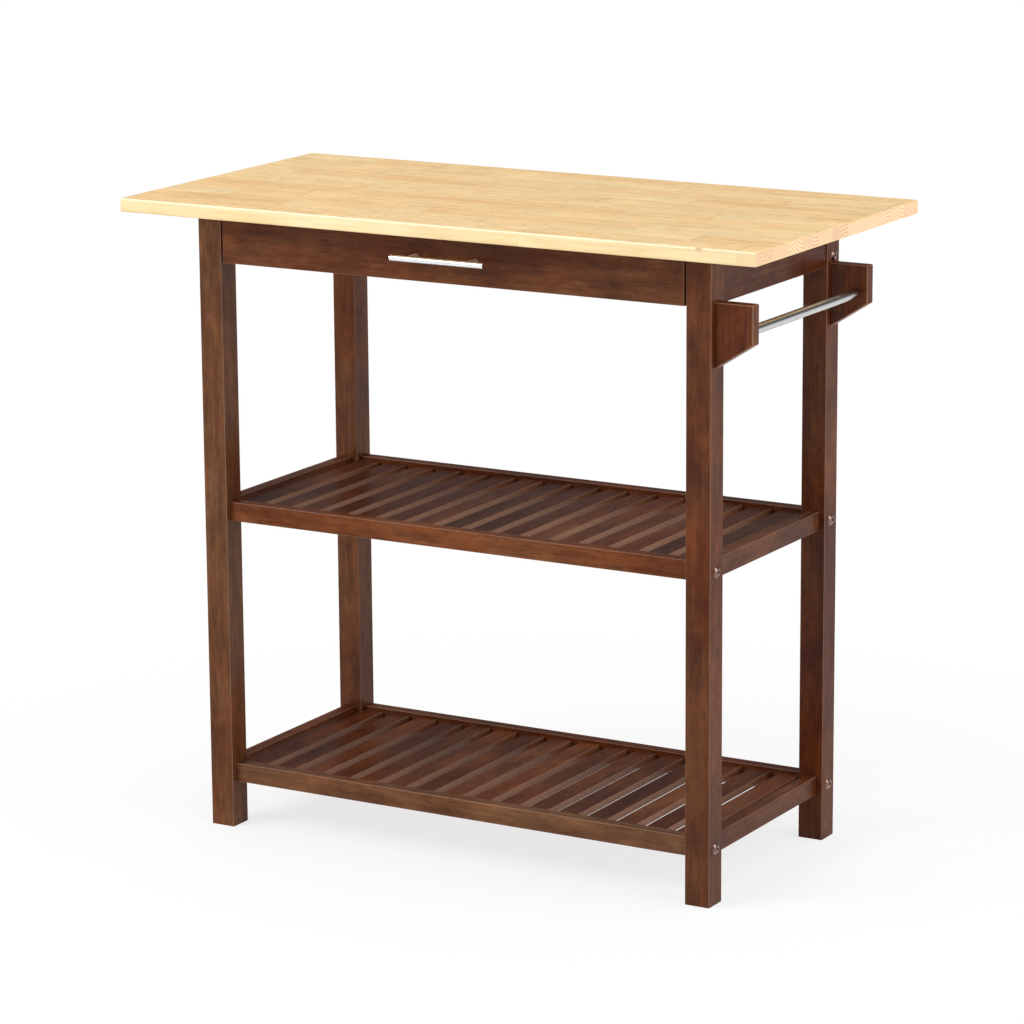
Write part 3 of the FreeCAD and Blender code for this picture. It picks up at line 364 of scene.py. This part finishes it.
def end_grain(g, place, axes, row, chance, seed):
    """Colour of the blocks' ends: arcs of growth rings about a heart in or near each stave."""
    first, second, third = g.add("ShaderNodeSeparateColor", {"Color": chance["Color"]}).outputs
    stave_middle = g.math("ADD", g.math("MULTIPLY", g.math("ADD", row, 0.5), STAVE_WIDTH),
                          -WORKTOP_DEPTH / 2)
    heart_y = g.math("ADD", stave_middle, g.between(first, 0, 1, -0.035, 0.035))
    heart_z = g.between(second, 0, 1, 0.86, 0.99)
    from_heart = g.add("ShaderNodeCombineXYZ", {
        "X": g.math("SUBTRACT", axes["Y"], heart_y),
        "Y": g.math("SUBTRACT", axes["Z"], heart_z)}).outputs[0]
    wobble = g.math("MULTIPLY", g.noise(place, scale=60, seed=seed), 0.004)
    radius = g.math("ADD", g.vector("LENGTH", from_heart), wobble)
    rings = g.math("SINE", g.math("MULTIPLY", radius, 2 * math.pi / RING_SPACING))
    rings = g.math("MULTIPLY", rings, g.between(chance["Value"], 0.35, 0.75, 0.25, 1.0))
    colour = g.ramp(g.between(rings, -1, 1), [(0.0, srgb(224, 176, 134)), (0.6, srgb(244, 205, 163)),
                                              (1.0, srgb(250, 216, 176))])
    colour = g.scaled(colour, g.between(third, 0, 1, 0.88, 1.04))
    vessels = g.noise(place, scale=900, seed=seed)
    return g.scaled(colour, g.between(vessels, 0.35, 0.65, 0.94, 1.03))


def edge_wood_and_highlight(g, height, figure, streaks):
    """Colour of the top's long edges: paler than its face, partly paler wood and partly painted light,
    with a painted highlight on the upper arris.
    """
    colour = g.ramp(figure, [(0.3, srgb(234, 204, 147)), (0.7, srgb(246, 224, 177))])
    colour = g.scaled(colour, g.varied(streaks, 0.87, 1.06))
    # Painted highlight along the upper arris
    return g.blend(g.between(height, ARRIS_START, ARRIS_END), colour, srgb(252, 238, 206))


def butcher_block(name):
    """Rubberwood staves glued edge to edge with staggered butt joints, end grain at both ends."""
    material, g, shader = new_material(name)
    place, facing = g.place(), g.axes(g.facing())
    axes = g.axes(place)
    row, staves, blocks = stave_layout(g, axes)
    block = g.add("ShaderNodeCombineXYZ", {"X": row, "Y": g.math("FLOOR", blocks)}).outputs[0]
    chance = g.add("ShaderNodeTexWhiteNoise", {"Vector": block}, noise_dimensions="3D").outputs
    seed = g.math("MULTIPLY", chance["Value"], 40.0)
    figure = g.grain(place, 0.16, seed, scale=42, detail=3, distortion=1.2)
    streaks = g.grain(place, 0.05, seed, scale=150, detail=4, roughness=0.6, distortion=0.2)
    fibres = g.grain(place, 0.03, seed, scale=700, roughness=0.6)
    flecks = g.between(g.grain(place, 0.10, seed, scale=300), 0.64, 0.72)
    glue_line = joint_line(g, staves, STAVE_WIDTH, half_line=0.0012, share=0.12)
    butt_joint = joint_line(g, blocks, BLOCK_LENGTH, half_line=0.0012, share=0.42)

    colour = long_grain(g, place, chance["Value"], figure, streaks, fibres, flecks)
    colour = g.blend(g.math("MAXIMUM", glue_line, butt_joint), colour, TOP_GLUE)
    # The long edges take their colour: paler wood together with painted light
    on_edge = g.between(g.math("ABSOLUTE", facing["Y"]), 0.25, 0.80)
    colour = g.blend(on_edge, colour, edge_wood_and_highlight(g, axes["Z"], figure, streaks))
    from_knot = g.vector("LENGTH", g.spread(g.vector("SUBTRACT", place, KNOT_PLACE), 0.45))
    ragged = g.math("ADD", from_knot, g.math("MULTIPLY", fibres, 0.002))
    colour = g.blend(g.between(ragged, 0.002, 0.0045, 0.6, 0.0), colour, srgb(178, 122, 70))
    on_end = g.between(g.math("ABSOLUTE", facing["X"]), 0.80, 0.95)
    ends = g.blend(glue_line, end_grain(g, place, axes, row, chance, seed), TOP_GLUE)
    g.feed(shader.inputs["Base Color"], g.blend(on_end, colour, ends))

    rough = g.varied(g.noise(place, scale=26, detail=3), 0.34, 0.46)
    g.feed(shader.inputs["Roughness"], g.math("ADD", rough, g.math("MULTIPLY", on_end, 0.12)))
    shader.inputs["Specular IOR Level"].default_value = 0.4
    height = g.math("SUBTRACT", g.math("MULTIPLY", fibres, 0.5), g.math("ADD", flecks, butt_joint))
    bump(g, shader, height, distance=0.0001)
    return material


def pale_wood(name, grain, dark, light, seed):
    """Unstained or lightly stained board or dowel with plain straight grain."""
    material, g, shader = new_material(name)
    place = turned_place(g, grain)
    figure = g.grain(place, 0.10, seed, scale=60, detail=3, roughness=0.55, distortion=0.8)
    fibres = g.grain(place, 0.03, seed, scale=700)
    colour = g.scaled(g.ramp(figure, [(0.3, dark), (0.7, light)]), g.varied(fibres, 0.93, 1.04))
    g.feed(shader.inputs["Base Color"], colour)
    g.feed(shader.inputs["Roughness"], g.varied(g.noise(place, scale=30, seed=seed), 0.5, 0.64))
    bump(g, shader, fibres, distance=0.0001)
    return material


def metal(name, colour, worn, roughness, mottle, scale=60.0, coat=0.0, metallic=1.0):
    """Plated or polished metal with a faint mottle and hairline scratches."""
    material, g, shader = new_material(name)
    place = g.place()
    clouds = g.noise(place, scale, detail=3, seed=1.0)
    hairs = g.noise(g.spread(place, y=0.08), scale=900, seed=2.0)
    g.feed(shader.inputs["Base Color"], g.ramp(clouds, [(0.35, colour), (0.75, worn)]))
    rough = g.math("MULTIPLY", g.math("ADD", clouds, hairs), mottle)
    g.feed(shader.inputs["Roughness"], g.math("ADD", rough, roughness))
    shader.inputs["Metallic"].default_value = metallic
    shader.inputs["Coat Weight"].default_value = coat
    shader.inputs["Coat Roughness"].default_value = 0.08
    bump(g, shader, hairs, distance=0.00001)
    return material


CHROME = metal("chrome_plate", (0.90, 0.90, 0.91, 1), (0.82, 0.82, 0.84, 1),
               roughness=0.15, mottle=0.03)
BRONZED = metal("bronzed_steel", srgb(134, 98, 86), srgb(104, 68, 58),
                roughness=0.20, mottle=0.10, scale=240, coat=1.0)
SATIN_CHROME = metal("satin_chrome", (0.80, 0.68, 0.64, 1), (0.68, 0.57, 0.54, 1),
                     roughness=0.42, mottle=0.05, metallic=0.5)
POLISHED_STEEL = metal("polished_steel", (0.62, 0.61, 0.62, 1), (0.54, 0.53, 0.54, 1),
                       roughness=0.17, mottle=0.05)
ZINC = metal("zinc_plated_steel", srgb(190, 192, 194), srgb(160, 163, 166),
             roughness=0.26, mottle=0.12, scale=90)

# Grain direction, lightness and share of brown of each stained piece that is one board
STAINED_PIECES = {
    "leg_front_left": ("Z", 0.63, 0.6), "leg_front_right": ("Z", 0.53, 0.2),
    "leg_rear_left": ("Z", 0.56, 0.45), "leg_rear_right": ("Z", 0.50, 0.1),
    "drawer_front": ("X", 0.61, 0.3), "back_apron": ("X", 0.50, 0.3),
    "side_apron_left": ("Y", 0.46, 0.3), "side_apron_right": ("Y", 0.46, 0.3),
    "lower_shelf_front_rail": ("X", 0.69, 0.95), "middle_shelf_front_rail": ("X", 0.70, 0.1),
    "lower_shelf_rear_rail": ("X", 0.50, 0.2), "middle_shelf_rear_rail": ("X", 0.46, 0.0),
    "lower_shelf_left_rail": ("Y", 0.52, 0.3), "lower_shelf_right_rail": ("Y", 0.52, 0.3),
    "middle_shelf_left_rail": ("Y", 0.52, 0.2), "middle_shelf_right_rail": ("Y", 0.52, 0.3),
}
# Finish, seed, darkest and lightest tone and share of brown of each piece of several boards
JOINED_PIECES = {
    "towel_bracket_front": (stained_bracket, 41.0, 0.40, 0.60, 0.05),
    "towel_bracket_rear": (stained_bracket, 47.0, 0.44, 0.62, 0.05),
    "lower_shelf_slats": (stained_slats, 100.0, 0.43, 0.68, 0.15),
    "middle_shelf_slats": (stained_slats, 140.0, 0.31, 0.57, 0.3),
}
CLEAT_COLOURS = srgb(150, 82, 42), srgb(190, 112, 60)
PACKER_COLOURS = srgb(190, 150, 104), srgb(214, 178, 130)
DRAWER_COLOURS = srgb(200, 160, 112), srgb(226, 190, 142)
DOWEL_COLOURS = srgb(206, 170, 124), srgb(226, 194, 148)
# Grain direction, darker and lighter colour and seed of each other wooden piece
PALE_PIECES = {
    "lower_shelf_front_cleat": ("X", CLEAT_COLOURS, 60.0),
    "lower_shelf_rear_cleat": ("X", CLEAT_COLOURS, 61.0),
    "middle_shelf_front_cleat": ("X", CLEAT_COLOURS, 62.0),
    "middle_shelf_rear_cleat": ("X", CLEAT_COLOURS, 63.0),
    "slide_packer_left": ("Y", PACKER_COLOURS, 80.0), "slide_packer_right": ("Y", PACKER_COLOURS, 81.0),
    "drawer_side_left": ("Y", DRAWER_COLOURS, 90.0), "drawer_side_right": ("Y", DRAWER_COLOURS, 91.0),
    "drawer_back": ("X", DRAWER_COLOURS, 92.0), "drawer_bottom": ("X", DRAWER_COLOURS, 93.0),
    "frame_dowels": ("Y", DOWEL_COLOURS, 97.0), "drawer_dowels": ("Y", DOWEL_COLOURS, 97.0),
}
ZINC_PIECES = ("barrel_nuts", "drawer_back_screws", "handle_screws", "towel_bracket_screws",
               "worktop_clip_screws", "worktop_clips")


def dress(name, material):
    """Give a CAD piece its finish."""
    materials = nodes[name].data.materials
    materials.clear()
    materials.append(material)


for number, (name, (grain, tone, brown_share)) in enumerate(STAINED_PIECES.items()):
    dress(name, stained(name, grain, PIECE_SEED_STEP * number + FIRST_SEED, tone, brown_share))
for name, (grain, (dark, light), seed) in PALE_PIECES.items():
    dress(name, pale_wood(name, grain, dark, light, seed))
for name, (finish, *values) in JOINED_PIECES.items():
    dress(name, finish(name, *values))
dress("worktop", butcher_block("butcher_block"))
dress("handle_post_left", SATIN_CHROME)
dress("handle_post_right", SATIN_CHROME)
for name in nodes:
    if name in ZINC_PIECES or (name.startswith("slide_") and name not in PALE_PIECES):
        dress(name, ZINC)


# Turned pieces: smooth bars and domed bolts in place of the faceted ones
TURNS = 64
ROUND, HEXAGON = "round", "hexagon"


def turned_rings(profile):
    """Rings of points about +Z from (radius, height, form) steps, outside to inside."""
    rings = []
    for radius, height, form in profile:
        ring = []
        for i in range(TURNS):
            angle = 2 * math.pi * i / TURNS
            reach = radius
            if form == HEXAGON:
                off = (angle + math.pi / 6) % (math.pi / 3) - math.pi / 6
                reach = radius * math.cos(math.pi / 6) / math.cos(off)
            ring.append((reach * math.cos(angle), reach * math.sin(angle), height))
        rings.append(ring)
    return rings


def add_turned(points, faces, profile, matrix):
    """Add one closed turned body to the lists of points and faces."""
    start = len(points)
    rings = turned_rings(profile)
    for ring in rings:
        points += [matrix @ Vector(point) for point in ring]
    for k in range(len(rings) - 1):
        low, high = start + k * TURNS, start + (k + 1) * TURNS
        for i in range(TURNS):
            j = (i + 1) % TURNS
            faces.append((low + i, low + j, high + j, high + i))
    last = start + (len(rings) - 1) * TURNS
    faces.append(tuple(start + i for i in reversed(range(TURNS))))
    faces.append(tuple(last + i for i in range(TURNS)))


def turned_piece(name, node, body, material, bodies):
    """One new piece made of turned bodies, each a profile and where its axis stands."""
    points, faces = [], []
    for profile, matrix in bodies:
        add_turned(points, faces, profile, matrix)
    mesh = bpy.data.meshes.new(name)
    mesh.from_pydata(points, [], faces)
    mesh.shade_smooth()
    mesh.set_sharp_from_angle(angle=math.radians(32))
    mesh.materials.append(material)
    piece = bpy.data.objects.new(name, mesh)
    bpy.context.scene.collection.objects.link(piece)
    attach(piece, body)
    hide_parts(node)


BAR_CHAMFER = 0.0005


def bar(name, node, axis, body, material):
    """A round bar along X or Y that fills the box of its CAD piece."""
    low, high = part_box(node)
    along = "XY".index(axis)
    half = (high[along] - low[along]) / 2
    radius = (high.z - low.z) / 2
    profile = [(radius - BAR_CHAMFER, -half, ROUND), (radius, BAR_CHAMFER - half, ROUND),
               (radius, half - BAR_CHAMFER, ROUND), (radius - BAR_CHAMFER, half, ROUND)]
    turn = Matrix.Rotation(math.pi / 2, 4, "Y") if axis == "X" else Matrix.Rotation(-math.pi / 2, 4, "X")
    stand = Matrix.Translation((low + high) / 2) @ turn
    turned_piece(name, node, body, material, [(profile, stand)])


BOLT_HEAD_RADIUS, BOLT_HEAD_HEIGHT, DOME_STEPS = 0.0085, 0.004, 10
BOLT_SHANK_RADIUS, BOLT_LENGTH = 0.003, 0.070
SOCKET_RADIUS, SOCKET_DEPTH = 0.0024, 0.0024
APRON_BOLT_RISE = 0.0155


def bolt_profile():
    """Domed head with a small rim, a hexagon socket and a plain shank, head towards +Z."""
    ball = (BOLT_HEAD_RADIUS ** 2 + BOLT_HEAD_HEIGHT ** 2) / (2 * BOLT_HEAD_HEIGHT)
    sunk = ball - BOLT_HEAD_HEIGHT
    rim = SOCKET_RADIUS * 1.12
    dome = []
    for step in range(DOME_STEPS + 1):
        radius = BOLT_HEAD_RADIUS + (rim - BOLT_HEAD_RADIUS) * step / DOME_STEPS
        dome.append((radius, math.sqrt(ball ** 2 - radius ** 2) - sunk, ROUND))
    lip = dome[-1][1] - 0.0002
    floor = BOLT_HEAD_HEIGHT - SOCKET_DEPTH
    drill_point = floor - 0.0003
    tip_radius, tip_end = BOLT_SHANK_RADIUS * 0.7, 0.001 - BOLT_LENGTH
    shank = [(tip_radius, -BOLT_LENGTH, ROUND), (BOLT_SHANK_RADIUS, tip_end, ROUND),
             (BOLT_SHANK_RADIUS, 0, ROUND)]
    socket = [(SOCKET_RADIUS, lip, HEXAGON), (SOCKET_RADIUS, floor, HEXAGON),
              (SOCKET_RADIUS * 0.3, drill_point, ROUND)]
    return shank + dome + socket


def frame_bolts(material):
    """The ten bolts, each on the outer face of its leg and level with its rail."""
    heights = []
    for rail in ("lower_shelf_front_rail", "middle_shelf_front_rail"):
        low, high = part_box(rail)
        heights += [((low.z + high.z) / 2, end) for end in ("front", "rear")]
    heights.append((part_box("back_apron")[0].z + APRON_BOLT_RISE, "rear"))
    bodies = []
    for side, name in ((-1, "left"), (1, "right")):
        for height, end in heights:
            low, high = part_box(f"leg_{end}_{name}")
            place = (high.x if side > 0 else low.x, (low.y + high.y) / 2, height)
            turn = Matrix.Rotation(side * math.pi / 2, 4, "Y")
            bodies.append((bolt_profile(), Matrix.Translation(place) @ turn))
    turned_piece("domed_bolts", "frame_bolts", "frame", material, bodies)


frame_bolts(BRONZED)
bar("drawer_handle", "handle_bar", "X", "drawer", CHROME)
bar("towel_rail", "towel_bar", "Y", "frame", POLISHED_STEEL)


# Studio
WHITE = (1, 1, 1, 1)
FLOOR_HALF_WIDTH = 30.0
FLOOR_COLOUR = (0.9, 0.9, 0.9, 1)
# The shadow shows by a quarter up to the first distance from the floor's middle, then fades out
SHADOW_NEAR, SHADOW_FAR = 0.4, 1.2
LAMP_TARGET = (0, 0, 0.5)
LAMP_WIDTH = 2.4


def white_floor():
    """A wide pale floor that shows white to the camera and in gloss, with a soft shadow near
    the feet, and can be seen through from below."""
    mesh = bpy.data.meshes.new("floor")
    half = FLOOR_HALF_WIDTH
    mesh.from_pydata([(-half, -half, 0), (half, -half, 0), (half, half, 0), (-half, half, 0)], [],
                     [(0, 1, 2, 3)])
    floor = bpy.data.objects.new("floor", mesh)
    bpy.context.scene.collection.objects.link(floor)
    material, g = empty_material("white_floor")
    seen = g.add("ShaderNodeLightPath").outputs
    direct = g.math("MAXIMUM", g.math("MAXIMUM", seen["Is Camera Ray"], seen["Is Glossy Ray"]),
                    seen["Is Transmission Ray"])
    away = g.between(g.vector("LENGTH", g.place()), SHADOW_NEAR, SHADOW_FAR, 0.75, 1.0)
    diffuse = g.add("ShaderNodeBsdfDiffuse", {"Color": FLOOR_COLOUR}).outputs[0]
    white = g.add("ShaderNodeEmission", {"Color": WHITE, "Strength": 1.0}).outputs[0]
    lit = g.add("ShaderNodeMixShader", {0: g.math("MULTIPLY", direct, away), 1: diffuse, 2: white})
    below = g.add("ShaderNodeNewGeometry").outputs["Backfacing"]
    clear = g.add("ShaderNodeBsdfTransparent").outputs[0]
    surface = g.add("ShaderNodeMixShader", {0: below, 1: lit.outputs[0], 2: clear}).outputs[0]
    g.add("ShaderNodeOutputMaterial", {"Surface": surface})
    mesh.materials.append(material)


def studio_world():
    """White to the camera; gloss mirrors a grey room, brighter at the horizon, overhead and
    behind the object; all else is lit by a soft grey sky."""
    world = bpy.data.worlds.new("studio")
    bpy.context.scene.world = world
    world.use_nodes = True
    world.node_tree.nodes.clear()
    g = Graph(world.node_tree)
    seen = g.add("ShaderNodeLightPath").outputs
    direction = g.axes(g.add("ShaderNodeTexCoord").outputs["Generated"])
    height = direction["Z"]
    horizon, overhead = g.between(height, 0.0, 0.2, 0.55, 0.12), g.between(height, 0.4, 0.8, 0.0, 0.65)
    behind = g.between(direction["Y"], -0.5, 0.4, 0.35, 1.0)
    mirrored = g.math("MULTIPLY", g.math("ADD", horizon, overhead), behind)
    sky = g.between(height, -0.1, 0.9, 0.46, 0.78)
    glossy = seen["Is Glossy Ray"]
    light = g.math("ADD", g.math("MULTIPLY", glossy, mirrored),
                   g.math("MULTIPLY", g.math("SUBTRACT", 1.0, glossy), sky))
    clear = g.math("MAXIMUM", seen["Is Camera Ray"], seen["Is Transmission Ray"])
    back = g.add("ShaderNodeBackground", {"Color": WHITE, "Strength": g.math("MAXIMUM", clear, light)})
    g.add("ShaderNodeOutputWorld", {"Surface": back.outputs[0]})


def area_light(name, place, power):
    """A square lamp that faces the object."""
    data = bpy.data.lights.new(name, "AREA")
    data.shape = "SQUARE"
    data.size = LAMP_WIDTH
    data.energy = power
    light = bpy.data.objects.new(name, data)
    bpy.context.scene.collection.objects.link(light)
    light.rotation_mode = "QUATERNION"
    light.rotation_quaternion = (Vector(place) - Vector(LAMP_TARGET)).to_track_quat("Z", "Y")
    light.location = place


def photo_camera():
    """The photograph's viewpoint, as a turn left, a tilt down and a slight roll."""
    data = bpy.data.cameras.new("camera")
    data.sensor_width = 36.0
    data.lens = 147.617
    camera = bpy.data.objects.new("camera", data)
    bpy.context.scene.collection.objects.link(camera)
    heading, tilt, roll = (math.radians(a) for a in (30.093, -13.081, 0.412))
    turn = (Matrix.Rotation(heading, 3, "Z") @ Matrix.Rotation(tilt, 3, "X")
            @ Matrix.Rotation(roll, 3, "Y"))
    right, forward, upward = turn.col
    axes = Matrix((right, upward, -forward)).transposed()
    camera.rotation_mode = "QUATERNION"
    camera.rotation_quaternion = axes.to_quaternion()
    camera.location = (2.952562, -5.114535, 1.849296)
    bpy.context.scene.camera = camera


white_floor()
studio_world()
area_light("key", place=(-2.6, -3.4, 3.4), power=155)
area_light("right", place=(3.6, 0.2, 1.9), power=60)
photo_camera()
bpy.context.scene.view_settings.view_transform = "Standard"
